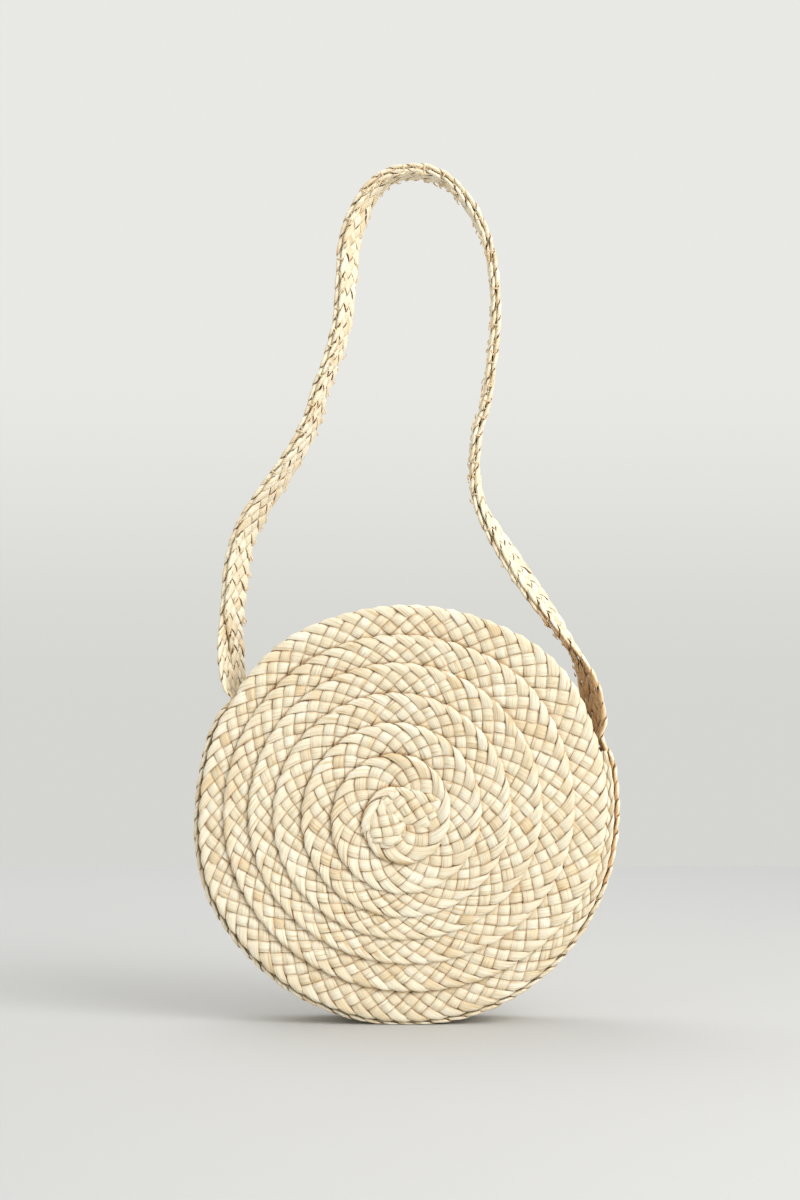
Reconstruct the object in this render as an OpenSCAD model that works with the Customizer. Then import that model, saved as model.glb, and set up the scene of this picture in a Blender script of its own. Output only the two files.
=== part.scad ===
// Round shoulder bag of plaited husk: two discs of plait wound in rows, a gusset of
// two plaits sewn edge to edge, and a shoulder strap made of the same two plaits
// stacked on each other. The front faces -Y and the bag stands on its worn foot.

/* [Bag] */
// Outer diameter of the round bag
bag_d = 300; // [240:1:380]
// Width of the flat plait of the gusset and the strap
plait_w = 25.4; // [18:0.1:32]
// Thickness of the flat plait
plait_t = 3.3; // [2.4:0.1:4.5]
// Height of the worn flat that the bag stands on
foot_flat = 1.5; // [0.8:0.1:2.2]

/* [Panels] */
// Rows of plait from the centre of a panel to its rim
panel_rows = 7; // [5:1:9]
// Thickness of a panel where a row is thinnest
panel_t = 3; // [2:0.1:4.5]
// Rise of a row's outer edge, where it lies on the next row
row_rise = 3; // [1:0.1:4]
// How far the free top edge of a panel stands short of the bag's outline
lip_inset = 1; // [0.2:0.1:6]

/* [Mouth] */
// Angle of the left mouth corner, from the right and round over the top
mouth_left = 146; // [134:1:158]
// Angle of the right mouth corner
mouth_right = 22; // [14:1:40]

/* [Strap] */
// Height of the strap's top over the top of the bag
strap_over = 312; // [220:1:420]
// Height over the top of the bag at which the strap bends to fall over
bend_over = 25; // [20:1:40]
// Angle that the strap falls to the front and to the back
strap_swing = 105; // [60:1:105]

/* [Stitching] */
// Thickness of a stitch
stitch_t = 1; // [0.6:0.1:1.6]
// Width of a stitch
stitch_w = 1.4; // [0.8:0.1:2.4]
// Length of a stitch across a join
stitch_len = 7; // [4:0.5:9]
// Distance between the stitches of the panel rows
row_stitch_gap = 40; // [25:1:80]
// Distance between the stitches of the gusset and the rim
rim_stitch_gap = 18; // [12:1:40]
// Stitches along each edge of the strap's loop
strap_stitches = 26; // [10:1:40]

/* [Hidden] */
$fn = 120;

// Gaps between pieces, and the overrun of every cut
seat_gap = 0.2;
fold_gap = 0.4;
rim_gap = 0.4;
pair_gap = 0.6;
layer_gap = 0.3;
overrun = 20;

// The round of the bag: its centre stands one radius, less the worn flat, over the floor
bag_r = bag_d / 2;
centre_z = bag_r - foot_flat;
gusset_r = bag_r - plait_t;
plait_mid_r = bag_r - plait_t / 2;
pair_y = (plait_w + pair_gap) / 2;
pair_half = plait_w + pair_gap / 2;

// A panel lies just inside the gusset, its outer face a little proud of the gusset's edge
panel_r = gusset_r - rim_gap;
lip_r = bag_r - lip_inset;
panel_deep = panel_t + row_rise;
panel_y = pair_half - panel_t;
row_w = panel_r / panel_rows;

// The mouth is the chord between the corners. The lips open about it
mouth_mid = (mouth_left + mouth_right) / 2;
mouth_lean = 90 - mouth_mid;
mouth_h = bag_r * cos((mouth_left - mouth_right) / 2);
corner_clear_share = 0.15;
corner_clear = corner_clear_share * bag_r;
lip_corner_gap = 2.2;
lip_corner_r = panel_r - lip_corner_gap;

// Strap: half the pitch of its two layers, and the reach of its corners about its middle
layer_step = (plait_t + layer_gap) / 2;
strap_reach = norm([plait_w / 2, plait_t + layer_gap / 2]) + layer_gap / 2;
bend_z = bag_r + bend_over;
strap_top = bag_r + strap_over;
left_corner = plait_mid_r * [cos(mouth_left), sin(mouth_left)];
right_corner = plait_mid_r * [cos(mouth_right), sin(mouth_right)];

// Places along the strap. The first number is the share of the bag's radius across. The
// second is the share of the height from the corner to the bend on a root, and from the
// bend to the strap's top on the loop. The third is the twist there in degrees, which a
// root takes on only as its layers slide together.
left_root_shares = [[-0.84, 0.45, 18], [-0.832, 0.77, 30]];
loop_shares = [
    [-0.772, 0.098, 28], [-0.507, 0.32, 18], [-0.41, 0.46, 14], [-0.313, 0.617, 19],
    [-0.267, 0.84, 25], [-0.143, 0.965, 12], [0.038, 1, 5], [0.22, 0.965, 2],
    [0.375, 0.84, 0], [0.427, 0.666, 0], [0.4, 0.491, 0], [0.375, 0.41, 0],
    [0.332, 0.32, 0], [0.347, 0.171, -8], [0.535, 0, -26]
];
right_root_shares = [[0.82, 0.461, -12]];
// Path lengths, in path steps from a corner, at which the layers part and slide together
part_steps = 0.35;
slide_steps = 1.7;
rings_a_step = 8;
stitch_from_steps = 0.6;

strap_points = concat(
    [concat(left_corner, 0)],
    [for (p = left_root_shares) root_point(p, left_corner)],
    [for (p = loop_shares) [p[0] * bag_r, bend_z + p[1] * (strap_top - bend_z), p[2]]],
    [for (p = right_root_shares) root_point(p, right_corner)],
    [concat(right_corner, 0)]
);
last_step = len(strap_points) - 1;
loop_first = len(left_root_shares);
loop_last = last_step - len(right_root_shares);

// A point of a root, between its mouth corner and the bend
function root_point(p, corner) =
    [p[0] * bag_r, corner[1] + p[1] * (bend_z - corner[1]), p[2]];

// Smooth curve through the strap's points, at s path steps from the left corner
function point_at(i) = strap_points[max(0, min(last_step, i))];
function curve(s) =
    let (
        i = min(floor(s), last_step - 1),
        f = s - i,
        a = point_at(i - 1),
        b = point_at(i),
        c = point_at(i + 1),
        d = point_at(i + 2)
    )
    b + f * ((c - a) + f * ((2 * a - 5 * b + 4 * c - d) + f * (3 * b - a - 3 * c + d))) / 2;
function along(s) =
    let (
        h = 1 / rings_a_step,
        a = curve(max(0, s - h)),
        b = curve(min(last_step, s + h))
    )
    [b[0] - a[0], b[1] - a[1]] / norm([b[0] - a[0], b[1] - a[1]]);

// Outward direction in the plane of the strap: along the bag's radius at the corners
function outward(s) =
    s == 0 ? [cos(mouth_left), sin(mouth_left)]
    : s == last_step ? [cos(mouth_right), sin(mouth_right)]
    : [-along(s)[1], along(s)[0]];

// How far the layers have parted, and how far they still lie side by side
function from_corner(s) = min(s, last_step - s);
function parted(s) = min(1, from_corner(s) / part_steps);
function beside(s) =
    let (f = max(0, min(1, (from_corner(s) - part_steps) / (slide_steps - part_steps))))
    1 - f * f * (3 - 2 * f);

// Twist of the strap at s, in degrees
function twist(s) = curve(s)[2] * (1 - beside(s));

// Point of the strap at s, across its width and out through its thickness
function strap_point(s, across, out) =
    let (
        c = curve(s),
        n = outward(s),
        t = twist(s),
        dir_across = [-n[0] * sin(t), cos(t), -n[1] * sin(t)],
        dir_out = [n[0] * cos(t), sin(t), n[1] * cos(t)]
    )
    [c[0], 0, c[1]] + across * dir_across + out * dir_out;

// Four corners of one layer: layer is 1 for the outer one and -1 for the inner one.
// Side by side at a corner, only the outer layer steps out, clear of the bag's lips.
function layer_ring(s, layer) =
    let (
        mid_across = -layer * pair_y * beside(s),
        mid_out = (layer + beside(s)) * layer_step * parted(s),
        half_w = plait_w / 2,
        half_t = plait_t / 2
    )
    [for (c = [[-1, -1], [1, -1], [1, 1], [-1, 1]])
        strap_point(s, mid_across + c[0] * half_w, mid_out + c[1] * half_t)];

// One layer of the strap from path step a to path step b
module strap_layer(a, b, layer) {
    rings = (b - a) * rings_a_step;
    points = [for (i = [0:rings]) each layer_ring(a + i / rings_a_step, layer)];
    sides = [for (i = [0:rings - 1], j = [0:3])
        let (
            here = 4 * i,
            next = 4 * (i + 1),
            k = (j + 1) % 4
        )
        each j < 2
            ? [[here + j, next + j, next + k], [here + j, next + k, here + k]]
            : [[here + j, next + j, here + k], [next + j, next + k, here + k]]];
    end = 4 * rings;
    caps = [[0, 1, 2], [0, 2, 3], [end + 2, end + 1, end], [end + 3, end + 2, end]];
    translate([0, 0, centre_z])
        polyhedron(points, concat(sides, caps));
}

// The bend: everything is drawn in Y and Z about the bend's axis, then run along X
module about_bend() {
    translate([-bag_d, 0, centre_z + bend_z])
        rotate([90, 0, 90])
            linear_extrude(2 * bag_d)
                children();
}

// Space that the strap's loop needs as it falls to the front and to the back
module falling_space() {
    reach = strap_reach + seat_gap;
    about_bend() {
        circle(reach);
        for (side = [-1, 0, 1])
            rotate(side * strap_swing)
                translate([-reach, 0])
                    square([2 * reach, bag_d]);
    }
}

// What the loop keeps: all over the bend's axis, and a round end below it
module loop_space() {
    about_bend() {
        circle(strap_reach);
        translate([-bag_d, 0])
            square([2 * bag_d, 2 * strap_over]);
    }
}

module left_root(layer) {
    color("palegoldenrod")
        difference() {
            strap_layer(0, loop_first + 1, layer);
            falling_space();
        }
}

module right_root(layer) {
    color("palegoldenrod")
        difference() {
            strap_layer(loop_last - 2, last_step, layer);
            falling_space();
        }
}

module strap_loop(layer) {
    color(layer > 0 ? "cornsilk" : "wheat")
        intersection() {
            strap_layer(loop_first, loop_last, layer);
            loop_space();
        }
}

// Rows of a panel as steps: each row is tilted, its outer edge lying on the next row
module panel_disc(r) {
    outer = [for (i = [panel_rows:-1:1])
        each [
            [i == panel_rows ? r : i * row_w, panel_deep],
            [(i - 1) * row_w, panel_t]
        ]];
    translate([0, -panel_y, centre_z])
        rotate([90, 0, 0])
            rotate_extrude()
                polygon(concat([[0, 0], [r, 0]], outer));
}

// The side of the mouth's chord away from the floor, from a height over the bag's centre
module over_chord(height) {
    translate([0, 0, centre_z])
        rotate([0, mouth_lean, 0])
            translate([-bag_d, -bag_d, height])
                cube(2 * bag_d);
}

module panel() {
    color("cornsilk")
        difference() {
            panel_disc(panel_r);
            over_chord(mouth_h - fold_gap / 2);
        }
}

// Near the corners a lip keeps inside the gusset's line, where the strap's roots rise
module lip() {
    color("ivory")
        difference() {
            intersection() {
                panel_disc(lip_r);
                over_chord(mouth_h + fold_gap / 2);
            }
            difference() {
                translate([0, 0, centre_z])
                    rotate([90, 0, 0])
                        difference() {
                            cylinder(h = bag_d, r = bag_d, center = true);
                            cylinder(h = 2 * bag_d, r = lip_corner_r, center = true);
                        }
                over_chord(mouth_h + corner_clear);
            }
        }
}

// One plait of the gusset, round the bag from the left corner under to the right one
module gusset_plait(side) {
    sweep = 360 - mouth_left + mouth_right;
    low = side > 0 ? pair_gap / 2 : -pair_half;
    color("cornsilk")
        difference() {
            translate([0, 0, centre_z])
                rotate([90, 0, 0])
                    rotate([0, 0, mouth_left])
                        rotate_extrude(angle = sweep)
                            translate([gusset_r, low])
                                square([plait_t, plait_w]);
            translate([-bag_r, -bag_r, -2 * overrun])
                cube([bag_d, bag_d, 2 * overrun]);
        }
}

// One stitch lying on the inner face of a panel, across the join at radius r
module row_stitch(r, angle) {
    translate([0, -panel_y + seat_gap, centre_z])
        rotate([0, -angle, 0])
            translate([r - stitch_len / 2, 0, -stitch_w / 2])
                cube([stitch_len, stitch_t, stitch_w]);
}

// Stitches of all rows, those of the panel or those of the lip
module row_thread(on_lip) {
    color("peru")
        for (i = [1:panel_rows - 1]) {
            r = i * row_w;
            count = floor(2 * PI * r / row_stitch_gap);
            for (k = [0:count - 1]) {
                angle = 360 * (k + i / panel_rows) / count;
                height = r * cos(angle - mouth_mid) - mouth_h;
                if (on_lip ? height > stitch_len : height < -stitch_len)
                    row_stitch(r, angle);
            }
        }
}

// Stitches that hold the rim of a panel, spread along the gusset
module rim_thread() {
    span = 360 - mouth_left + mouth_right;
    count = floor(2 * PI * panel_r * span / 360 / rim_stitch_gap);
    color("peru")
        for (k = [1:count - 1])
            row_stitch(panel_r - stitch_len / 2 - seat_gap, mouth_left + span * k / count);
}

// Stitches across the seam of the two gusset plaits, on their inner face
module gusset_seam_thread() {
    span = 360 - mouth_left + mouth_right;
    count = floor(2 * PI * gusset_r * span / 360 / rim_stitch_gap);
    wide = stitch_w / gusset_r * 180 / PI;
    color("peru")
        translate([0, 0, centre_z])
            rotate([90, 0, 0])
                for (k = [1:count - 1])
                    rotate([0, 0, mouth_left + span * k / count - wide / 2])
                        rotate_extrude(angle = wide)
                            translate([gusset_r - seat_gap - stitch_t, -stitch_len / 2])
                                square([stitch_t, stitch_len]);
}

// Stitches over both edges of the strap's loop, binding its two layers
module strap_edge_thread() {
    first = loop_first + 1 + stitch_from_steps;
    last = loop_last - 1 - stitch_from_steps;
    high = 2 * (plait_t + layer_gap);
    reach = plait_w / 2 + seat_gap + stitch_t / 2;
    color("peru")
        for (k = [0:strap_stitches - 1], side = [-1, 1]) {
            s = first + (last - first) * k / (strap_stitches - 1);
            run = along(s);
            translate([0, 0, centre_z])
                translate(strap_point(s, side * reach, 0))
                    rotate([0, -atan2(run[1], run[0]), 0])
                        rotate([-twist(s), 0, 0])
                            cube([stitch_w, stitch_t, high], center = true);
        }
}

// The back is the front mirrored
module at_back() {
    mirror([0, 1, 0])
        children();
}

panel();  // front_panel
lip();  // front_lip
at_back() panel();  // back_panel
at_back() lip();  // back_lip
gusset_plait(1);  // gusset_front_plait
gusset_plait(-1);  // gusset_back_plait
left_root(1);  // strap_root_left_outer
left_root(-1);  // strap_root_left_inner
right_root(1);  // strap_root_right_outer
right_root(-1);  // strap_root_right_inner
strap_loop(1);  // strap_outer_plait
strap_loop(-1);  // strap_inner_plait
row_thread(false);  // front_row_thread
row_thread(true);  // front_lip_thread
at_back() row_thread(false);  // back_row_thread
at_back() row_thread(true);  // back_lip_thread
rim_thread();  // front_rim_thread
at_back() rim_thread();  // back_rim_thread
gusset_seam_thread();
strap_edge_thread();
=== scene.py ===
import bpy
import math
import numpy as np
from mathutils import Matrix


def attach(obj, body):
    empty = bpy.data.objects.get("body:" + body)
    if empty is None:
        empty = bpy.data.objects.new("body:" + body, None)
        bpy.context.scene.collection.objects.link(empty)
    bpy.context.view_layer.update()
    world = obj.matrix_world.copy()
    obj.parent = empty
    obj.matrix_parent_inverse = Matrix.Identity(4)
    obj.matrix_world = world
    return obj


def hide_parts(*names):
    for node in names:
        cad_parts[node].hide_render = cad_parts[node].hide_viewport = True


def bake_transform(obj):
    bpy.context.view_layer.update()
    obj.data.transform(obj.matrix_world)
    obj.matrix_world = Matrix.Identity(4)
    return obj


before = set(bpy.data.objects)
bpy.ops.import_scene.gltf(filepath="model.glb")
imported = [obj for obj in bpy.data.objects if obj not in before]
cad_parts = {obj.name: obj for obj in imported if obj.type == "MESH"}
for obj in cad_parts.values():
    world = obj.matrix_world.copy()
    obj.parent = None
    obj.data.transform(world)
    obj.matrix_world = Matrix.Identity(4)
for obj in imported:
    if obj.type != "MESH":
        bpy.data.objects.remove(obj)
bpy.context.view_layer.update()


# Studio: a plain pale floor in front of a pale backdrop, lit softly from the upper right
# in front. The camera looks level at the bag from two metres.

floor_half = 4
floor_end = 1.17
floor_paint = (0.555, 0.55, 0.532, 1)
# Painted shade: the backdrop's colour low down, near the floor
backdrop_painted_shade = (0.67, 0.67, 0.64, 1)
backdrop_high = (0.815, 0.812, 0.78, 1)
glow_colour = (0.97, 0.985, 1, 1)
glow_strength = 0.82


class Socket:
    """An output of a node. Sums on it add Math nodes to the same tree."""

    def __init__(self, tree, socket=None):
        self.tree = tree
        self.socket = socket

    def node(self, kind, settings=None, inputs=None, out=0):
        """Adds a node: its settings first, then its sockets' values or links."""
        new = self.tree.nodes.new(kind)
        for name, value in (settings or {}).items():
            if name == "stops":
                stops = new.color_ramp.elements
                while len(stops) < len(value):
                    stops.new(0.5)
                for stop, (place, colour) in zip(stops, value):
                    stop.position = place
                    stop.color = (*colour, 1)
            else:
                setattr(new, name, value)
        for name, value in (inputs or {}).items():
            if isinstance(value, Socket):
                value.feeds(new.inputs[name])
            else:
                new.inputs[name].default_value = value
        return Socket(self.tree, new.outputs[out])

    def feeds(self, target):
        """Links this output to an input of another node."""
        self.tree.links.new(self.socket, target)

    def sum(self, operation, first, second):
        """A Math node on two sockets or numbers."""
        return self.node("ShaderNodeMath", {"operation": operation}, {0: first, 1: second})

    def __add__(self, other):
        return self.sum("ADD", self, other)

    def __radd__(self, other):
        return self.sum("ADD", other, self)

    def __sub__(self, other):
        return self.sum("SUBTRACT", self, other)

    def __rsub__(self, other):
        return self.sum("SUBTRACT", other, self)

    def __mul__(self, other):
        return self.sum("MULTIPLY", self, other)

    def __rmul__(self, other):
        return self.sum("MULTIPLY", other, self)

    def __pow__(self, other):
        return self.sum("POWER", self, other)

    def __rpow__(self, other):
        return self.sum("POWER", other, self)

    def mixed(self, kind, first, second, amount):
        """Colours first and second, mixed by amount."""
        return self.node(
            "ShaderNodeMix",
            {"data_type": "RGBA", "blend_type": kind},
            {0: amount, 6: first, 7: second},
            2,
        )


def added(name, data):
    """A new object in the scene."""
    thing = bpy.data.objects.new(name, data)
    bpy.context.scene.collection.objects.link(thing)
    return thing


def new_finish(name):
    """A new material, its tree of nodes, and the inputs of its surface shader."""
    material = bpy.data.materials.new(name)
    material.use_nodes = True
    surface = material.node_tree.nodes["Principled BSDF"]
    return material, Socket(material.node_tree), surface.inputs


floor_mesh = bpy.data.meshes.new("studio_floor")
floor_mesh.from_pydata(
    [
        (-floor_half, -floor_half, 0),
        (floor_half, -floor_half, 0),
        (floor_half, floor_end, 0),
        (-floor_half, floor_end, 0),
    ],
    [],
    [(0, 1, 2, 3)],
)
floor = added("studio_floor", floor_mesh)
paint, tree, surface = new_finish("studio_floor")
surface["Base Color"].default_value = floor_paint
surface["Roughness"].default_value = 0.8
surface["Specular IOR Level"].default_value = 0.1
floor_mesh.materials.append(paint)

lens = bpy.data.cameras.new("camera")
lens.sensor_fit = "VERTICAL"
lens.sensor_height = 36
lens.lens = 84.6
camera = added("camera", lens)
camera.location = (-0.005, -2.03, 0.302)
camera.rotation_euler = (math.radians(90), 0, 0)
bpy.context.scene.camera = camera


def soft_lamp(name, place, aim, size, power):
    """A square soft box that shines at a point."""
    light = bpy.data.lights.new(name, "AREA")
    light.size = size
    light.energy = power
    lamp = added(name, light)
    lamp.location = place
    way = [a - b for a, b in zip(aim, place)]
    lamp.rotation_euler = (
        math.atan2(math.hypot(way[0], way[1]), -way[2]),
        0,
        math.atan2(-way[0], way[1]),
    )


soft_lamp("window_lamp", (1.5, -1.4, 1.3), (0, 0, 0.25), 1.8, 36)
soft_lamp("key_lamp", (1.3, -1.1, 1.4), (0, 0, 0.25), 0.6, 6)
soft_lamp("floor_lamp", (-0.6, 0.9, 1.8), (-0.3, 0.7, 0), 1.5, 11)
bpy.context.scene.view_settings.view_transform = "Standard"

# The world lights the bag from all round, and shows as the backdrop's plain paint, with
# painted shade that makes it a little darker near the floor
sky = bpy.data.worlds.new("studio_sky")
sky.use_nodes = True
tree = Socket(sky.node_tree)
glow = sky.node_tree.nodes["Background"]
glow.inputs["Color"].default_value = glow_colour
glow.inputs["Strength"].default_value = glow_strength
seen = tree.node("ShaderNodeLightPath", out="Is Camera Ray")
mirrored = tree.node("ShaderNodeLightPath", out="Is Glossy Ray")
way_seen = tree.node("ShaderNodeTexCoord", out="Generated")
level = tree.node("ShaderNodeSeparateXYZ", {}, {"Vector": way_seen}, "Z")
up_wall = tree.node(
    "ShaderNodeMapRange",
    {"interpolation_type": "SMOOTHSTEP"},
    {"Value": level, "From Min": -0.04, "From Max": 0.09},
)
backdrop_seen = tree.mixed("MIX", backdrop_painted_shade, backdrop_high, up_wall)
backdrop = tree.node("ShaderNodeBackground", {}, {"Color": backdrop_seen, "Strength": 1.0})
shown = tree.node(
    "ShaderNodeMixShader",
    {},
    {0: seen + mirrored, 1: Socket(sky.node_tree, glow.outputs[0]), 2: backdrop},
)
shown.feeds(sky.node_tree.nodes["World Output"].inputs["Surface"])
bpy.context.scene.world = sky


# Front panel: one long flat plait of five husk strands. It starts as a folded pad in the
# middle and is wound outwards, each row lying with its outer edge on the next row.

pale_leaf = [
    (0.0, (0.84, 0.73, 0.53)),
    (0.3, (0.89, 0.80, 0.62)),
    (0.6, (0.91, 0.84, 0.67)),
    (1.0, (0.94, 0.89, 0.75)),
]
# One leaf in seven is tan, and some of those more than others
tan_amount = [
    (0.0, (0, 0, 0)),
    (0.86, (0, 0, 0)),
    (0.93, (0.5, 0.5, 0.5)),
    (1.0, (0.9, 0.9, 0.9)),
]
tan_leaf = (0.82, 0.62, 0.36, 1)
# Painted shade with warm bounced light, for the strap's inner face at the right corner
painted_bounce_brown = (0.92, 0.60, 0.31, 1)
blotch_shade = (0.86, 0.78, 0.62, 1)
vein_shade = (0.82, 0.74, 0.55, 1)
rib_shade = (0.84, 0.77, 0.62, 1)
stain_shade = (0.80, 0.52, 0.28, 1)
# Strand edges: partly the leaves' own browner edges, partly painted shade in the gaps
edge_tint_and_shade = (0.70, 0.52, 0.32, 1)
split_shade = (0.74, 0.62, 0.42, 1)
# Painted shade: brown that darkens places covered by a crossing strand or by the next row
painted_shade_brown = (0.52, 0.34, 0.18, 1)

husk, tree, surface = new_finish("plaited_husk")
tone = tree.node("ShaderNodeAttribute", {"attribute_name": "tone"}, out="Fac")
warmth = tree.node("ShaderNodeAttribute", {"attribute_name": "warmth"}, out="Fac")
rim = tree.node("ShaderNodeAttribute", {"attribute_name": "rim"}, out="Fac")
depth = tree.node("ShaderNodeAttribute", {"attribute_name": "depth"}, out="Fac")
lie = tree.node("ShaderNodeUVMap", {"uv_map": "strand"})


def leaf_noise(along, across, detail):
    """Noise on the strands' own map, with its scales along and across a strand."""
    place = lie.node("ShaderNodeMapping", {}, {"Vector": lie, "Scale": (along, across, 1)})
    return lie.node(
        "ShaderNodeTexNoise", {}, {"Vector": place, "Scale": 1.0, "Detail": detail}
    )


ribs = leaf_noise(70, 1500, 3.0)
veins = leaf_noise(25, 420, 2.0)
blotch = leaf_noise(60, 110, 3.0)
stain = leaf_noise(42, 75, 4.0)
crease = leaf_noise(330, 240, 4.0)
split = leaf_noise(9, 360, 0.0)
off_split = tree.node("ShaderNodeMath", {"operation": "ABSOLUTE"}, {0: split - 0.5})
pale = tree.node("ShaderNodeValToRGB", {"stops": pale_leaf}, {"Fac": tone})
tan = tree.node("ShaderNodeValToRGB", {"stops": tan_amount}, {"Fac": warmth})
colour = tree.mixed("MIX", pale, tan_leaf, tan * 0.6)
# Only where the warmth is over 1 is the colour painted shade with warm bounced light, a brown
colour = tree.mixed("MIX", colour, painted_bounce_brown, (warmth - 1) * 1.7)
for shade, amount in (
    (blotch_shade, (blotch - 0.4) * 1.6),
    (vein_shade, (veins - 0.45) * 1.8),
    (rib_shade, (ribs - 0.5) * 2.2),
    (stain_shade, (stain - 0.66) * 6),
    # Darker strand edges: the leaves' own browner edges and painted shade in the gaps
    (edge_tint_and_shade, (rim ** 9) * (blotch * 1.3)),
    (split_shade, (0.035 - off_split) * 24),
    # Painted shade where a strand or a row is covered
    (painted_shade_brown, depth * (blotch + 0.3)),
):
    colour = tree.mixed("MULTIPLY", colour, shade, amount)
grain = tree.node(
    "ShaderNodeBump",
    {},
    {"Strength": 0.6, "Distance": 0.0003, "Height": ribs + veins * 1.4 + crease * 1.2},
)
surface["Specular IOR Level"].default_value = 0.35
surface["Sheen Weight"].default_value = 0.08
colour.feeds(surface["Base Color"])
(0.5 + ribs * 0.25).feeds(surface["Roughness"])
grain.feeds(surface["Normal"])

strands = 5
strand_thick = 0.0011
# How far a strand rises where it lies over another, and its crown between two crossings
layer_rise = 0.0006
crown = 0.0006
crown_power = 2.2
# How far a fold's middle stands out of the plait's edge
scallop = 0.0008
# A strand's section, in half widths across and half thicknesses out
strand_ring = np.array([
    (1, 0), (0.83, 0.65), (0, 1.25), (-0.83, 0.65),
    (-1, 0), (-0.83, -0.65), (0, -1.25), (0.83, -0.65),
])
ring_sides = len(strand_ring)
# Places of the sections on one pass of a strand from edge to edge, in crossings
pass_steps = np.array([
    0, 0.1, 0.4, 0.75, 1.05, 1.3, 1.5, 1.7, 2.0, 2.3,
    2.5, 2.7, 3.0, 3.3, 3.5, 3.7, 3.95, 4.25, 4.6, 4.9,
])
# A strand's width as a share of the space between crossings
strand_share = 0.985
# How strands wander: crossings from one value to the next, and how much either way
width_wander = (1.7, 0.1)
aside_wander = (2.3, 0.0007)
lift_wander = (1.9, 0.00035)
crown_wander = (0.5, 0.6)
roll_wander = (1.1, 0.00045)
# Crossings from a fold over which a strand bends round, turns aside and is scalloped
bend_reach = 0.22
turn_reach = 1.1
scallop_reach = 0.9
# Where a strand changes from over to under after a crossing, over what part of it, and
# how much its edges lag behind
change_from = 0.2
change_over = 0.6
change_curve = 0.1
# The leaf next to a fold shows this many crossings long, and the rest show one
end_leaf = 1.5
# Steps between strands and between plaits on the husk's map
map_strand_step = 0.05
map_plait_step = 0.31
# Share of the leaves that are like the one before, and shares of a tone that come from
# the leaf and from its strand
same_leaf = 0.45
leaf_tone = 0.85
strand_tone = 0.15
cap_tone = 0.3
# Share of the painted shade of a covered place that reaches the bend of a fold
bend_painted_shade = 0.4


def eased(x):
    """A soft step from 0 to 1."""
    x = np.clip(x, 0, 1)
    return x * x * (3 - 2 * x)


def swell(x, middle, width):
    """A smooth swelling of height 1 about middle."""
    return np.exp(-((x - middle) / width) ** 2)


def wander(places, step, amount, seed):
    """A smooth random walk about zero, with a new value every step."""
    chance = np.random.default_rng(seed)
    knots = (places - places.min()) / step
    values = chance.uniform(-amount, amount, int(knots.max()) + 2)
    low = knots.astype(int)
    return values[low] + (values[low + 1] - values[low]) * eased(knots - low)


def through(points, s):
    """A smooth curve through the rows of points, at s steps from the first."""
    points = np.asarray(points, float)
    last = len(points) - 1
    low = np.clip(np.floor(s).astype(int), 0, last - 1)
    f = (s - low)[:, None] if points.ndim > 1 else s - low
    a, b, c, d = (points[np.clip(low + k, 0, last)] for k in (-1, 0, 1, 2))
    bend = 2 * a - 5 * b + 4 * c - d
    twist = 3 * b - a - 3 * c + d
    return b + f * ((c - a) + f * (bend + f * twist)) / 2


def over_or_under(crossing, lag):
    """1 where a strand lies over the one it crosses, and -1 where it lies under it."""
    over = 1.0
    for k in range(1, strands - 1):
        sign = (-1) ** k
        over = over + 2 * sign * eased((crossing - k - change_from - sign * lag) / change_over)
    return over


def share_of_leaf(crossing):
    """How far a place is from one end of the leaf that shows there to the other."""
    middle_leaf = (crossing - 0.5) % 1
    last_leaf = (crossing - strands + end_leaf) / end_leaf
    share = np.where(crossing < strands - end_leaf, middle_leaf, last_leaf)
    return np.clip(np.where(crossing < end_leaf, crossing / end_leaf, share), 0, 1)


def strip_faces(start, rows):
    """The side faces and the end caps of a strip of rings, from its first point's number."""
    row_starts = start + ring_sides * np.arange(rows - 1)[:, None]
    here = row_starts + np.arange(ring_sides)
    next_on = row_starts + (np.arange(ring_sides) + 1) % ring_sides
    quads = np.stack([here, next_on, next_on + ring_sides, here + ring_sides], axis=-1)
    caps = [
        list(range(start + ring_sides - 1, start - 1, -1)),
        list(range(start + ring_sides * (rows - 1), start + ring_sides * rows)),
    ]
    return quads.reshape(-1, 4), caps


def leaf_tones(cell, chance):
    """The tone and the warmth of each side face, from the leaf that its row lies in."""
    leaf = chance.random(cell.max() + 1)
    kept = chance.random(cell.max() + 1) < same_leaf
    for k in range(1, len(leaf)):
        if kept[k]:
            leaf[k] = leaf[k - 1]
    tones = leaf[cell] * leaf_tone + chance.random() * strand_tone
    warmths = chance.random(cell.max() + 1)[cell]
    return np.repeat(tones, ring_sides), np.repeat(warmths, ring_sides)


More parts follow.
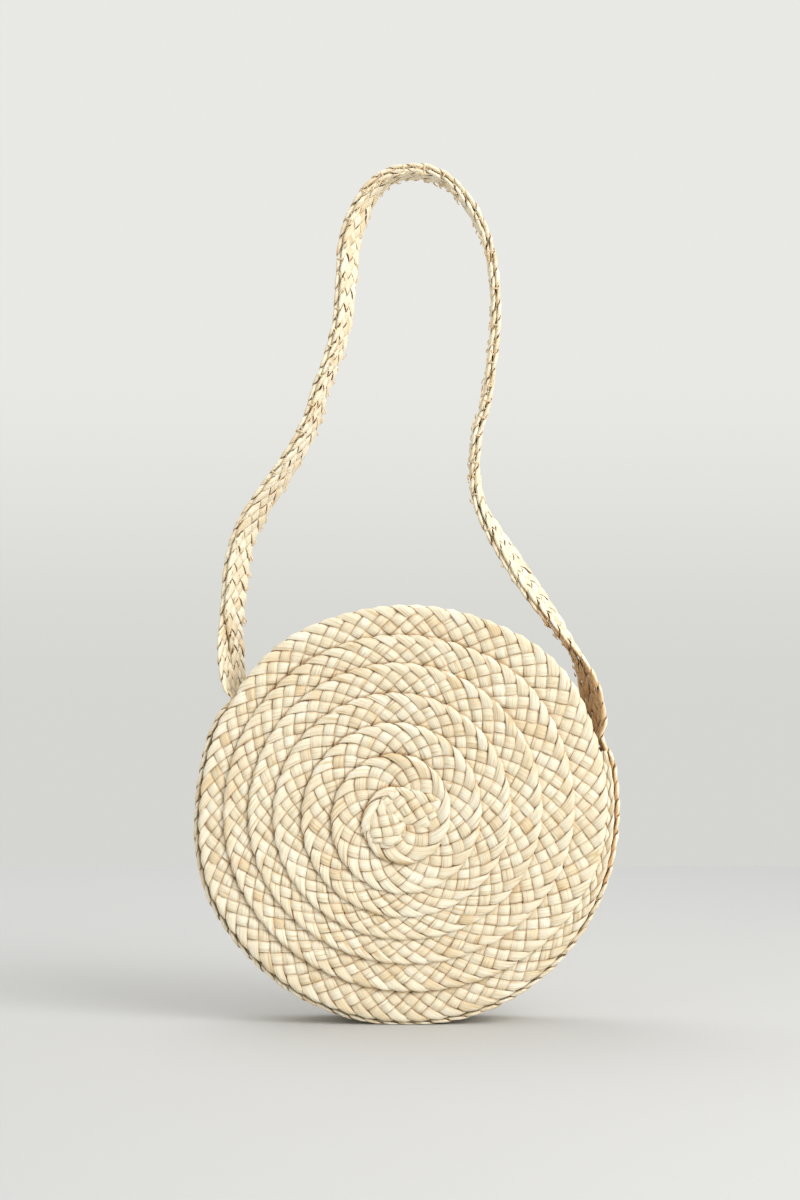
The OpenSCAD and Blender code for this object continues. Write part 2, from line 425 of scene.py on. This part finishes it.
def plait(length, unit, spread, seed):
    """A flat plait of five strands, each over one and under one, folded at both edges.

    Every strand is a closed, pillowed strip. The points are given as the way along the
    plait, across it from its first edge, and out of its middle. A strand crosses the
    next every unit of the length, at the places across that spread gives.
    """
    made = {
        name: [] for name in
        ("along", "across", "out", "lie", "rim", "depth", "faces", "tone", "warmth")
    }
    caps = []
    ring_across = strand_ring[:, 0]
    ring_out = strand_ring[:, 1]
    chance = np.random.default_rng(seed)
    start = 0
    for strand in range(strands):
        first = -2 * strand
        last = length / unit - 2 * strand
        passes = np.arange(first // strands, last // strands + 1)
        met = (passes[:, None] * strands + pass_steps).ravel()
        met = met[(met >= first) & (met <= last)][:, None]
        rows = len(met)
        seeds = [seed * 97 + strand * 7 + k for k in range(4)]
        wide = unit * (strand_share + wander(met, *width_wander, seeds[0]))
        aside = wander(met, *aside_wander, seeds[1])
        lift = wander(met, *lift_wander, seeds[2])
        puff = crown * (1 + wander(met, *crown_wander, seeds[3]))
        roll = ring_across * wander(met, *roll_wander, seed * 89 + strand)
        edge = ring_across * wide + aside
        # A strand goes to and fro between the edges, and turns its other face out each time
        inward = met % (2 * strands) < strands
        face = np.where(inward, 1.0, -1.0)
        met_in = met % strands
        from_fold = np.minimum(met_in, strands - met_in)
        shear = eased(from_fold / turn_reach)
        way = met - shear * edge / (2 * unit)
        x = way % (2 * strands)
        crossing = met_in + (1 - shear) * edge / (2 * unit)
        over = over_or_under(crossing, change_curve * ring_across ** 2)
        pillow = puff * (1 - np.abs(2 * share_of_leaf(crossing) - 1) ** crown_power)
        turn = np.clip(from_fold / bend_reach, 0, 1) * np.pi / 2
        skin = ring_out * strand_thick / 2
        tuck = scallop * ring_across ** 2 * (1 - eased(from_fold / scallop_reach))
        at_first = np.abs(met % (2 * strands) - strands) > strands / 2
        middle = through(
            spread, np.where(inward, x, 2 * strands - x).ravel()
        ).reshape(x.shape)
        across = middle + np.where(at_first, tuck, -tuck) - skin * np.cos(turn)
        height = layer_rise * over + over * pillow + lift + roll + skin * face
        # Painted shade, from how far a place is covered by the strand that crosses it
        covered = 0.5 - over * np.sin(turn) * face * ring_out
        covered = np.where(turn < 1.5, bend_painted_shade * covered, covered)
        root = math.sqrt(2)
        map_along = way * unit * root + edge / root
        map_across = edge / root + strand * map_strand_step + seed * map_plait_step
        cell = ((met[:-1, 0] + met[1:, 0]) / 2 - first + 0.5 + 2 * strands).astype(int)
        tones, warmths = leaf_tones(cell, chance)
        quads, ends = strip_faces(start, rows)
        made["along"].append((unit * (2 * strand + way) + edge).ravel())
        made["across"].append(across.ravel())
        made["out"].append((height * np.sin(turn)).ravel())
        made["lie"].append(np.stack([map_along.ravel(), map_across.ravel()], axis=-1))
        made["rim"].append(np.tile(np.abs(ring_across), rows))
        made["depth"].append((0.5 * eased(covered)).ravel())
        made["faces"].append(quads)
        made["tone"].append(tones)
        made["warmth"].append(warmths)
        caps += ends
        start += ring_sides * rows
    made["tone"].append(np.full(2 * strands, cap_tone))
    made["warmth"].append(np.full(2 * strands, cap_tone))
    return {"caps": caps} | {name: np.concatenate(parts) for name, parts in made.items()}


def husk_piece(name, laid):
    """One mesh object from plaits that have been laid: (plait, places) pairs."""
    faces = []
    start = 0
    for woven, places in laid:
        a, b, c, d = (places[woven["faces"][:, k]] for k in range(4))
        volume = np.einsum("ij,ij->i", a + c, np.cross(c - a, d - b)).sum()
        turned = -1 if volume < 0 else 1
        faces += (woven["faces"][:, ::turned] + start).tolist()
        faces += [[start + k for k in cap[::turned]] for cap in woven["caps"]]
        start += len(places)
    mesh = bpy.data.meshes.new(name)
    mesh.from_pydata(np.concatenate([places for _, places in laid]).tolist(), [], faces)
    corners = np.zeros(len(mesh.loops), int)
    mesh.loops.foreach_get("vertex_index", corners)
    lies = np.concatenate([woven["lie"] for woven, _ in laid])
    strand_map = mesh.uv_layers.new(name="strand")
    strand_map.data.foreach_set("uv", lies[corners].ravel())
    for title, domain in (
        ("tone", "FACE"), ("warmth", "FACE"), ("rim", "POINT"), ("depth", "POINT"),
    ):
        mark = mesh.attributes.new(title, "FLOAT", domain)
        mark.data.foreach_set("value", np.concatenate([woven[title] for woven, _ in laid]))
    mesh.shade_smooth()
    mesh.materials.append(husk)
    return added(name, mesh)


bag_r = 0.150
centre_z = 0.1485
# The mouth's corners, in degrees round the bag from its right side over the top
mouth_right = 22
mouth_left = 146
mouth_from = math.radians(mouth_right)
mouth_to = math.radians(mouth_left)
mouth_fade = 0.12
row_unit = 0.0060
row_spread = [0, 0.0046, 0.0099, 0.0155, 0.0209, 0.0254]
row_plait_w = row_spread[-1]
# The pad's middle, the radius that it leaves open, and the turns of the plait round it
pad_x = -0.0055
pad_z = -0.001
pad_open_r = 0.002
first_turn = 0.02
rows_wound = 6.8
# Radius of the wound plait's outer edge about the pad, each quarter turn from the top
# and over the left, to where it meets the rim
quarter_radii = [
    0.0231, 0.0262, 0.0329, 0.0360,
    0.0453, 0.0483, 0.0538, 0.0580,
    0.0674, 0.0694, 0.0705, 0.0790,
    0.0885, 0.0895, 0.0864, 0.1010,
    0.1097, 0.1072, 0.1036, 0.1240,
    0.1298, 0.1247, 0.1230, 0.1475,
    0.1540, 0.1500, 0.1500, 0.1560,
]
# The last two rows swell over the mouth's right corner
corner_turn = 5.88
corner_width = 0.045
corner_swell = 0.006
# Radius of the sewn rim, and how far the free rim over the mouth stands out of it, all
# along and more at its two slack places
sewn_rim_r = 0.1460
free_rim_out = 0.0038
slack_rim_out = 0.0026
# How far the bag bulges out of its circle: off its foot, under the mouth's corners, and
# at the lower left
side_bulge = 0.0010
shoulder_bulge = 0.0022
low_left_bulge = 0.0028
# A row lies this much over the next, and is narrowed or widened to these shares at most
row_lap = 0.0042
narrowest = 0.42
widest = 1.16
# The plait's end is pushed in by this much, from this turn on
end_sunk = 0.0020
end_turn = 6.45
# The course of the plait has this many places, and its width is evened over some of them
course_places = 6000
evened_places = 60
# Places in y: the panel's face at its edge, its crown, and what rows slope, tuck and sag
panel_out = 0.0274
panel_crown = 0.0042
row_slope = 0.0034
row_tuck = 0.0013
row_sag = 0.0006
# The rim is drawn in by its seam, from this radius on over this width
seam_draw = 0.0009
seam_from_r = 0.136
seam_width = 0.010
# Places across a row where it goes under the next and where painted shade darkens it, with
# widths
under_from = 0.0165
under_width = 0.006
shade_from = 0.0194
shade_width = 0.0018
# How much flatter the rows are sewn, and weaker their painted shade, at a face's right
flatter_share = 0.55


def rim_flare(degrees):
    """How far the bag bulges out of its circle, which it doesn't where it stands."""
    turned = (degrees + 90) % 360 - 90
    shoulder = swell(turned, 16, 12) + swell(turned, 152, 12)
    off_foot = eased((np.abs((degrees + 90) % 360 - 180) - 168) / -30)
    low_left = swell(turned, 200, 18)
    return side_bulge * off_foot + shoulder_bulge * shoulder + low_left_bulge * low_left


def free_rim(angle):
    """1 where the rim is free, over the mouth, and 0 where it is sewn to the gusset."""
    return eased((angle - mouth_from) / mouth_fade) * eased((mouth_to - angle) / mouth_fade)


def rim_reach(turns):
    """Distance from the pad to the bag's rim in the direction of turns."""
    x = -np.sin(2 * np.pi * turns)
    z = np.cos(2 * np.pi * turns)
    angle = np.arctan2(z, x) % (2 * np.pi)
    degrees = np.degrees(angle)
    free = free_rim(angle)
    slack = swell(degrees, 48, 14) + swell(degrees, 124, 14)
    rim_r = sewn_rim_r + (free_rim_out + slack_rim_out * slack) * free
    rim_r += rim_flare(degrees) * (1 - free)
    shift = pad_x * x + pad_z * z
    return np.sqrt(shift ** 2 + rim_r ** 2 - pad_x ** 2 - pad_z ** 2) - shift


def row_reach(turns):
    """Distance from the pad to the outer edge of the wound plait."""
    wound_r = through(quarter_radii, turns * 4)
    last_row = corner_swell * swell(turns, corner_turn, corner_width)
    row_before = corner_swell / 2 * swell(turns, corner_turn - 1, corner_width)
    return np.minimum(wound_r + (last_row + row_before), rim_reach(turns))


# The plait's course in turns, from its end at the rim to its start at the pad, with the
# radius of its outer edge, its width as a share, how deep it lies and its length so far
wound = np.linspace(rows_wound, first_turn, course_places)
reach = row_reach(wound)
inside = np.where(wound > 1, row_reach(np.maximum(wound - 1, 0)), pad_open_r)
squeeze = np.clip((reach - inside + row_lap) / row_plait_w, narrowest, widest)
evening = np.ones(2 * evened_places + 1) / (2 * evened_places + 1)
squeeze = np.convolve(np.pad(squeeze, evened_places, "edge"), evening, "valid")
deep = eased((wound - end_turn) / 0.2) * end_sunk
middle_r = reach - squeeze * row_plait_w / 2
run = np.concatenate([[0], np.cumsum(
    (middle_r[1:] + middle_r[:-1]) / 2 * 2 * np.pi * (wound[0] - wound[1])
)])


# How softly the husk goes over from round to flat at the foot
foot_round = 0.0012


def pressed_flat(places):
    """Presses the husk flat where the bag stands on its foot."""
    z = places[:, 2]
    places[:, 2] = (z + np.sqrt(z ** 2 + foot_round ** 2)) / 2
    return places


def lay_on_panel(woven, side):
    """Winds a plait on the panel that faces side: -1 is the front, 1 the back."""
    at = woven["along"]
    across = woven["across"]
    turns = np.interp(at, run, wound)
    r = np.interp(at, run, reach) - across * np.interp(at, run, squeeze)
    x = pad_x - np.sin(2 * np.pi * turns) * r
    z = pad_z + np.cos(2 * np.pi * turns) * r
    # The rows are sewn flatter at the right of each face than at its left, and get less
    # painted shade there
    at_right = np.clip(side * np.sin(2 * np.pi * (turns + 0.04)) + 0.1, 0, 1)
    loose = 1 - flatter_share * at_right
    # Painted shade along the crevice where the next row covers this one
    painted_crevice_shade = loose * eased((across - shade_from) / shade_width)
    woven["depth"] = np.maximum(woven["depth"], painted_crevice_shade)
    hidden = row_tuck * loose * eased((across - under_from) / under_width)
    sunk = np.interp(at, run, deep)
    sag = row_sag * np.sin(5 * turns + 9 * r / bag_r)
    full = panel_crown * (1 - (r / bag_r) ** 2)
    drawn = eased((np.hypot(x, z) - seam_from_r) / seam_width)
    drawn *= 1 - free_rim(np.arctan2(z, x) % (2 * np.pi))
    mid = panel_out - row_slope * loose * across / row_plait_w - hidden - sunk + sag + full
    mid -= seam_draw * drawn
    return pressed_flat(np.stack([x, side * (mid + woven["out"]), centre_z + z], axis=-1))


# The pad: the plait's start, folded over itself, as (seed, start, end, rise) from its middle
pad_folds = [
    (71, (-0.016, 0.010), (0.030, 0.001), 0.0007),
    (72, (-0.004, 0.006), (-0.021, -0.019), 0.0016),
]
pad_out = 0.0307
pad_pinch = 0.16
pad_bow = 0.0022
pad_end_tuck = 0.0026
pad_edge_tuck = 0.0012


def lay_on_pad(woven, start, end, rise, side):
    """Lays a short straight plait on the pad, with its two ends tucked in."""
    start = np.array(start)
    end = np.array(end)
    share = woven["along"] / woven["along"].max()
    way = (end - start) / np.linalg.norm(end - start)
    pinched = 1 - pad_pinch * (2 * share - 1) ** 4
    aside = (woven["across"] - row_plait_w / 2) * pinched
    bow = pad_bow * np.sin(np.pi * share)
    x = start[0] + (end - start)[0] * share - way[1] * (aside + bow)
    z = start[1] + (end - start)[1] * share + way[0] * (aside + bow)
    tucked = pad_end_tuck * (2 * np.abs(share - 0.5)) ** 6
    tucked += pad_edge_tuck * (2 * aside / row_plait_w) ** 4
    return np.stack([
        pad_x + x,
        side * (pad_out + rise - tucked + woven["out"]),
        centre_z + pad_z + z,
    ], axis=-1)


def wound_panel(name, side, seed):
    """A panel's wound plait with the folds of its pad."""
    woven = plait(run[-1], row_unit, row_spread, seed)
    laid = [(woven, lay_on_panel(woven, side))]
    for fold_seed, start, end, rise in pad_folds:
        crossings = round(math.dist(start, end) / row_unit)
        fold = plait(crossings * row_unit, row_unit, row_spread, fold_seed)
        laid.append((fold, lay_on_pad(fold, start, end, rise, side)))
    return husk_piece(name, laid)


def hang_lip(piece):
    """Bakes a panel's placement into its mesh."""
    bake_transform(piece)


front_rows = wound_panel("front_rows", -1, 11)
hang_lip(front_rows)
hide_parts("front_panel", "front_lip")


# Back panel: a second plait of the same husk, wound and sewn in the same way. Its rim is
# held to the gusset's other edge.

back_rows = wound_panel("back_rows", 1, 23)
hang_lip(back_rows)
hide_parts("back_panel", "back_lip")


# Gusset and strap: two more plaits, side by side round the bag. They leave it at the
# mouth's corners and go on, one stacked on the other, as the shoulder strap.

band_w = 0.0254
band_r = 0.14835
pair_y = 0.0125
layer_step = 0.0018
bend_h = 0.175
strap_top = 0.462
# Degrees between two places of a band round the bag, and where it starts, at the foot
bag_step = 0.4
foot = 270
flare_fade = 7
# Shares of the bag's radius across and of the height, and the twist in degrees. From one
# of these places to the next is one step of the strap
left_root = [(-0.84, 0.45, 18), (-0.832, 0.77, 30)]
loop = [
    (-0.772, 0.098, 28), (-0.507, 0.32, 18), (-0.41, 0.46, 14), (-0.313, 0.617, 19),
    (-0.267, 0.84, 25), (-0.143, 0.965, 12), (0.038, 1, 5), (0.22, 0.965, 2),
    (0.375, 0.84, 0), (0.427, 0.666, 0), (0.4, 0.491, 0), (0.375, 0.41, 0),
    (0.332, 0.32, 0), (0.347, 0.171, -8), (0.535, 0, -26),
]
right_root = [(0.82, 0.461, -12)]
# Steps between two places of a band on the strap, and steps over which its way is taken
strap_step = 0.02
way_steps = 0.06
# Steps from a corner to where the plaits have parted, lie one on the other, and are full
part_steps = 0.35
slide_steps = 1.7
full_steps = 1.1
left_corner = (band_r * math.cos(mouth_to), band_r * math.sin(mouth_to))
right_corner = (band_r * math.cos(mouth_from), band_r * math.sin(mouth_from))


def root_place(share, corner):
    """A place of the strap between a corner of the mouth and the strap's bend."""
    return (share[0] * bag_r, corner[1] + share[1] * (bend_h - corner[1]), share[2])


strap_places = np.array(
    [(*left_corner, 0)]
    + [root_place(share, left_corner) for share in left_root]
    + [(x * bag_r, bend_h + z * (strap_top - bend_h), t) for x, z, t in loop]
    + [root_place(share, right_corner) for share in right_root]
    + [(*right_corner, 0)]
)
strap_steps = len(strap_places) - 1
# The number of a band's first place on the strap, at the mouth's right corner
strap_start = round((360 + mouth_right - foot) / bag_step)


def round_bag(layer, start, end):
    """Middle, direction across and direction out of a band round the bag, in degrees."""
    turn = np.arange(start, end, bag_step)
    angle = np.radians(turn)
    out = np.stack([np.cos(angle), 0 * angle, np.sin(angle)], axis=-1)
    across = np.zeros_like(out)
    across[:, 1] = layer
    from_corner = np.minimum(turn - mouth_left, 360 + mouth_right - turn)
    flare = rim_flare(turn) * eased(from_corner / flare_fade)
    middle = out * (band_r + flare)[:, None]
    middle[:, 1] = -layer * pair_y
    return middle, across, out


def leaning(from_corner, most, kept, over):
    """Degrees that the plaits lean: most, kept for some steps and lost over some more."""
    return most * eased(from_corner / 0.25) * (1 - eased((from_corner - kept) / over))


def over_strap(layer):
    """Middle, direction across and direction out of a band over the strap."""
    s = np.arange(strap_steps, 0.001, -strap_step)
    c = through(strap_places, s)
    ahead = through(strap_places, np.minimum(s + way_steps, strap_steps))
    behind = through(strap_places, np.maximum(s - way_steps, 0))
    way = ahead[:, :2] - behind[:, :2]
    way /= np.linalg.norm(way, axis=1)[:, None]
    n = np.stack([-way[:, 1], way[:, 0]], axis=-1)
    from_right = strap_steps - s
    from_corner = np.minimum(s, from_right)
    apart = np.minimum(1, from_corner / part_steps) * eased(from_corner / full_steps)
    beside = 1 - eased((from_corner - part_steps) / (slide_steps - part_steps))
    # Just over each corner the side-by-side plaits lean, and show the face that was inside
    lean = leaning(s, 15, 0.5, 1.2) + leaning(from_right, 13, 0.6, 0.7)
    t = np.radians(c[:, 2] * (1 - beside) + lean)
    across = np.stack([-n[:, 0] * np.sin(t), np.cos(t), -n[:, 1] * np.sin(t)], axis=-1)
    out = np.stack([n[:, 0] * np.cos(t), np.sin(t), n[:, 1] * np.cos(t)], axis=-1)
    middle = np.stack([c[:, 0], 0 * s, c[:, 1]], axis=-1)
    middle += across * (-layer * pair_y * beside)[:, None]
    middle += out * ((layer + beside) * layer_step * apart)[:, None]
    return middle, across * layer, out


def smoothed(ways):
    """Directions along a path, each averaged with those of the 12 places either way."""
    kernel = np.exp(-0.5 * (np.arange(-12, 13) / 5) ** 2)
    kernel /= kernel.sum()
    padded = np.pad(ways, ((12, 12), (0, 0)), "edge")
    soft = np.stack([np.convolve(padded[:, a], kernel, "valid") for a in range(3)], axis=-1)
    return soft / np.linalg.norm(soft, axis=1)[:, None]


def band_path(layer):
    """Middle, direction across and direction out of a band, from the bag's foot round."""
    parts = (
        round_bag(layer, foot, 360 + mouth_right),
        over_strap(layer),
        round_bag(layer, mouth_left, foot + bag_step / 2),
    )
    middle, across, out = (np.concatenate([part[k] for part in parts]) for k in range(3))
    return middle, smoothed(across), smoothed(out)


# Length of plait either way of the right corner whose inner face gets painted shade and warm
# bounced light, and its warmth
painted_bounce_reach = 0.11
painted_bounce_warmth = 1.5
# Share of the painted shade that the gusset and strap plaits keep
band_painted_shade = 0.6


def lay_band(path, seed):
    """Plaits a band and lays it round the bag and over the strap."""
    middle, across, out = path
    far = np.linalg.norm(np.diff(middle, axis=0), axis=1)
    gone = np.concatenate([[0], np.cumsum(far)])
    length = round(gone[-1] / (2 * row_unit)) * 2 * row_unit
    woven = plait(length, row_unit, np.linspace(0, band_w, strands + 1), seed)
    at = woven["along"] * gone[-1] / length % gone[-1]
    places = [
        np.stack([np.interp(at, gone, p[:, a]) for a in range(3)], axis=-1)
        for p in (middle, across, out)
    ]
    woven["depth"] *= band_painted_shade
    # Over the right corner the face that was inside the bag is painted brown, as shade with
    # warm light bounced inside
    quad = woven["faces"][:, 0]
    from_corner = (at[quad] - gone[strap_start]) / painted_bounce_reach
    painted_bounce = (woven["out"][quad] < 0) & (from_corner > -1) & (from_corner < 1)
    woven["warmth"][:len(quad)][painted_bounce] = painted_bounce_warmth
    aside = woven["across"] - band_w / 2
    laid = places[0] + aside[:, None] * places[1] + woven["out"][:, None] * places[2]
    laid[:, 2] += centre_z
    return woven, pressed_flat(laid)


# The strap's bend lies between these two heights
front_path = band_path(1)
back_path = band_path(-1)
front_band = husk_piece("front_band", [lay_band(front_path, 31)])
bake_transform(front_band)
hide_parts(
    "gusset_front_plait", "strap_root_left_outer", "strap_root_right_outer",
    "strap_outer_plait",
)
back_band = husk_piece("back_band", [lay_band(back_path, 47)])
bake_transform(back_band)
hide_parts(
    "gusset_back_plait", "strap_root_left_inner", "strap_root_right_inner",
    "strap_inner_plait",
)


# Thread: short stitches of twisted bast fibre sew each row on the next, the rims on the
# gusset, the two plaits of the gusset to each other, and the strap's layers together.

dark_bast = (0.62, 0.45, 0.26, 1)
light_bast = (0.80, 0.66, 0.44, 1)

bast, tree, surface = new_finish("bast_thread")
here = tree.node("ShaderNodeTexCoord", out="Object")
twist = tree.node("ShaderNodeTexNoise", {}, {"Vector": here, "Scale": 900.0, "Detail": 2.0})
grain = tree.node("ShaderNodeBump", {}, {"Strength": 0.5, "Distance": 0.0002, "Height": twist})
surface["Roughness"].default_value = 0.7
tree.mixed("MIX", dark_bast, light_bast, twist).feeds(surface["Base Color"])
grain.feeds(surface["Normal"])

# The tree turns each edge of a mesh into a round thread that arches along its "lift",
# strays from its line and tapers
sewing = bpy.data.node_groups.new("sewn_thread", "GeometryNodeTree")
for title, kind in (
    ("Path", "Geometry"), ("Radius", "Float"), ("Sides", "Int"), ("Rise", "Float"),
    ("Stray", "Float"), ("Taper", "Float"), ("Finish", "Material"),
):
    sewing.interface.new_socket(title, in_out="INPUT", socket_type="NodeSocket" + kind)
sewing.interface.new_socket("Thread", in_out="OUTPUT", socket_type="NodeSocketGeometry")
given = sewing.nodes.new("NodeGroupInput")
tree = Socket(sewing)
path, radius, sides, rise, stray, taper, finish = [
    Socket(sewing, socket) for socket in list(given.outputs)[:7]
]


def moved(operation, first, inputs):
    """A Vector Math node on first."""
    return tree.node("ShaderNodeVectorMath", {"operation": operation}, {0: first} | inputs)


line = tree.node("GeometryNodeMeshToCurve", {}, {"Mesh": path})
line = tree.node("GeometryNodeResampleCurve", {}, {"Curve": line, "Count": 7})
share = tree.node("GeometryNodeSplineParameter")
arch = tree.node("ShaderNodeMath", {"operation": "SINE"}, {0: share * math.pi})
lift = tree.node(
    "GeometryNodeInputNamedAttribute", {"data_type": "FLOAT_VECTOR"}, {"Name": "lift"}
)
arched = moved("SCALE", lift, {"Scale": arch * rise})
drift = tree.node("ShaderNodeTexNoise", {}, {"Scale": 140.0, "Detail": 1.0}, "Color")
drift = moved("SUBTRACT", drift, {1: (0.5, 0.5, 0.5)})
drift = moved("SCALE", drift, {"Scale": share * stray})
offset = moved("ADD", arched, {1: drift})
line = tree.node("GeometryNodeSetPosition", {}, {"Geometry": line, "Offset": offset})
ring = tree.node(
    "GeometryNodeCurvePrimitiveCircle", {}, {"Resolution": sides, "Radius": radius}
)
tube = tree.node(
    "GeometryNodeCurveToMesh",
    {},
    {"Curve": line, "Profile Curve": ring, "Scale": 1 - share * taper, "Fill Caps": True},
)
tube = tree.node("GeometryNodeRealizeInstances", {}, {"Geometry": tube})
tube = tree.node("GeometryNodeSetMaterial", {}, {"Geometry": tube, "Material": finish})
tube.feeds(sewing.nodes.new("NodeGroupOutput").inputs[0])
sewing_inputs = {
    item.name: item.identifier
    for item in sewing.interface.items_tree if item.in_out == "INPUT"
}


def sewn_piece(name, starts, ends, lifts, **sizes):
    """A mesh object with one thread or fibre from each start to its end."""
    count = len(starts)
    lines = bpy.data.meshes.new(name + "_path")
    lines.from_pydata(
        np.concatenate([starts, ends]).tolist(), [(k, k + count) for k in range(count)], []
    )
    mark = lines.attributes.new("lift", "FLOAT_VECTOR", "POINT")
    mark.data.foreach_set("vector", np.concatenate([lifts, lifts]).ravel())
    plan = added(name + "_path", lines)
    modifier = plan.modifiers.new("sewing", "NODES")
    modifier.node_group = sewing
    for title, value in sizes.items():
        modifier[sewing_inputs[title]] = value
    graph = bpy.context.evaluated_depsgraph_get()
    mesh = bpy.data.meshes.new_from_object(plan.evaluated_get(graph))
    mesh.name = name
    mesh.shade_smooth()
    bpy.data.objects.remove(plan)
    return added(name, mesh)


thread_r = 0.0006
thread_sides = 8


def stitched(name, body, node, starts, ends, lifts):
    """Stitches that ride on a body and replace its thread node."""
    piece = sewn_piece(
        name, starts, ends, lifts,
        Radius=thread_r, Sides=thread_sides, Rise=1.0, Stray=0.0, Taper=0.0, Finish=bast,
    )
    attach(piece, body)
    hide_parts(node)


stitch_len = 0.007
stitch_rise = 0.0018
sewn_rows = 7
row_stitch_gap = 0.040
rim_stitches = 33
panel_rim = 0.1463
row_width = panel_rim / sewn_rows
# The inner face of a panel in y, at the edge, and its crown
inner_out = 0.0222
inner_crown = 0.0045
mouth_height = bag_r * math.cos((mouth_to - mouth_from) / 2)
mouth_middle = (mouth_to + mouth_from) / 2
up = np.array([0, 0, centre_z])


def panel_stitches(radii, angles, side):
    """Starts, ends and lifts of radial stitches on the inner face of a panel."""
    way = np.stack([np.cos(angles), 0 * angles, np.sin(angles)], axis=-1)
    middle = way * radii[:, None] + up
    middle[:, 1] = side * (inner_out + inner_crown * (1 - (radii / bag_r) ** 2))
    lifts = np.zeros_like(middle)
    lifts[:, 1] = -side * stitch_rise
    half = way * stitch_len / 2
    return middle - half, middle + half, lifts


row_radii = []
row_angles = []
for row in range(1, sewn_rows):
    count = int(2 * math.pi * row * row_width / row_stitch_gap)
    row_angles += [2 * math.pi * (k + row / sewn_rows) / count for k in range(count)]
    row_radii += [row * row_width] * count
row_radii = np.array(row_radii)
row_angles = np.array(row_angles)
row_heights = row_radii * np.cos(row_angles - mouth_middle) - mouth_height
on_panel = row_heights < -stitch_len
on_lip = row_heights > stitch_len
rim_share = np.arange(1, rim_stitches) / rim_stitches
rim_angles = mouth_to + (2 * math.pi + mouth_from - mouth_to) * rim_share
rim_radii = np.full(rim_stitches - 1, panel_rim - stitch_len / 2)
for face, side in (("front", -1), ("back", 1)):
    stitched(
        face + "_row_stitches", "bag", face + "_row_thread",
        *panel_stitches(row_radii[on_panel], row_angles[on_panel], side),
    )
    stitched(
        face + "_lip_stitches", face + "_lip", face + "_lip_thread",
        *panel_stitches(row_radii[on_lip], row_angles[on_lip], side),
    )
    stitched(
        face + "_rim_stitches", "bag", face + "_rim_thread",
        *panel_stitches(rim_radii, rim_angles, side),
    )

seam_r = 0.1464
seam_way = np.stack([np.cos(rim_angles), 0 * rim_angles, np.sin(rim_angles)], axis=-1)
seam_middle = seam_way * seam_r + up
seam_half = np.array([0, stitch_len / 2, 0])
stitched(
    "gusset_seam_stitches", "bag", "gusset_seam_thread",
    seam_middle - seam_half, seam_middle + seam_half, -seam_way * stitch_rise,
)

# Stitches over each edge of the strap, and its steps at the left and right without any
edge_stitches = 26
left_bare = 3.6
right_bare = 2.6
edge_inset = 0.0004
edge_deep = 0.0006
edge_rise = 0.0009
edge_steps = np.linspace(left_bare, strap_steps - right_bare, edge_stitches)
strap_at = strap_start + np.round((strap_steps - edge_steps) / strap_step).astype(int)
starts, ends, lifts = [], [], []
for side in (-1, 1):
    aside = front_path[1][strap_at] * side * (band_w / 2 - edge_inset)
    deeper = front_path[2][strap_at] * edge_deep
    starts.append(front_path[0][strap_at] + aside + deeper)
    ends.append(back_path[0][strap_at] + aside - deeper)
    lifts.append(front_path[1][strap_at] * side * edge_rise)
stitched(
    "strap_edge_stitches", "strap", "strap_edge_thread",
    np.concatenate(starts) + up, np.concatenate(ends) + up, np.concatenate(lifts),
)


# Stray fibre: short torn ends of leaf that stand out of the strap's edges and inner face,
# where the new leaves were fed into the plait. They are thin, dry and browner.

dark_fibre = (0.68, 0.48, 0.25, 1)
light_fibre = (0.91, 0.80, 0.58, 1)
fibre_r = 0.0007
fibre_sides = 4
fibre_rise = 0.0007
shortest_fibre = 0.0018
longest_fibre = 0.0050
# How far in from the plait's edge and out of its middle the fibres start
fibre_inset = 0.0022
fibre_out = 0.0016
# Fibres of each set, and places at either end of the strap that have none
fibre_count = 105
bare_places = 40

torn, tree, surface = new_finish("torn_husk")
here = tree.node("ShaderNodeTexCoord", out="Object")
patch = tree.node("ShaderNodeTexNoise", {}, {"Vector": here, "Scale": 210.0, "Detail": 2.0})
dry_leaf = tree.mixed("MIX", dark_fibre, light_fibre, (patch - 0.3) * 2.4)
surface["Roughness"].default_value = 0.65
dry_leaf.feeds(surface["Base Color"])

chance = np.random.default_rng(5)
strap_rows = round(strap_steps / strap_step)
starts, ends, lifts = [], [], []
for path, face in ((front_path, -1), (back_path, -1), (back_path, -1)):
    at = strap_start + chance.integers(bare_places, strap_rows - bare_places, fibre_count)
    middle, across, out = (p[at] for p in path)
    way = path[0][at + 3] - path[0][at - 3]
    way /= np.linalg.norm(way, axis=1)[:, None]
    edge = chance.choice([-1, 1], fibre_count)
    edge = edge * (band_w / 2 - chance.exponential(fibre_inset, fibre_count))
    start = middle + across * edge[:, None] + out * (face * fibre_out)
    length = chance.uniform(shortest_fibre, longest_fibre, fibre_count)[:, None]
    lean = (
        across * (np.sign(edge) * chance.uniform(-0.1, 0.7, fibre_count))[:, None]
        + out * (face * chance.uniform(0.05, 0.35, fibre_count))[:, None]
        + way * chance.choice([-1, 1], fibre_count)[:, None]
    )
    starts.append(start)
    ends.append(start + lean / np.linalg.norm(lean, axis=1)[:, None] * length)
    lifts.append(out * face * fibre_rise)
strap_fibres = sewn_piece(
    "strap_fibres", np.concatenate(starts) + up, np.concatenate(ends) + up,
    np.concatenate(lifts),
    Radius=fibre_r, Sides=fibre_sides, Rise=1.0, Stray=0.003, Taper=0.6, Finish=torn,
)
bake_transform(strap_fibres)
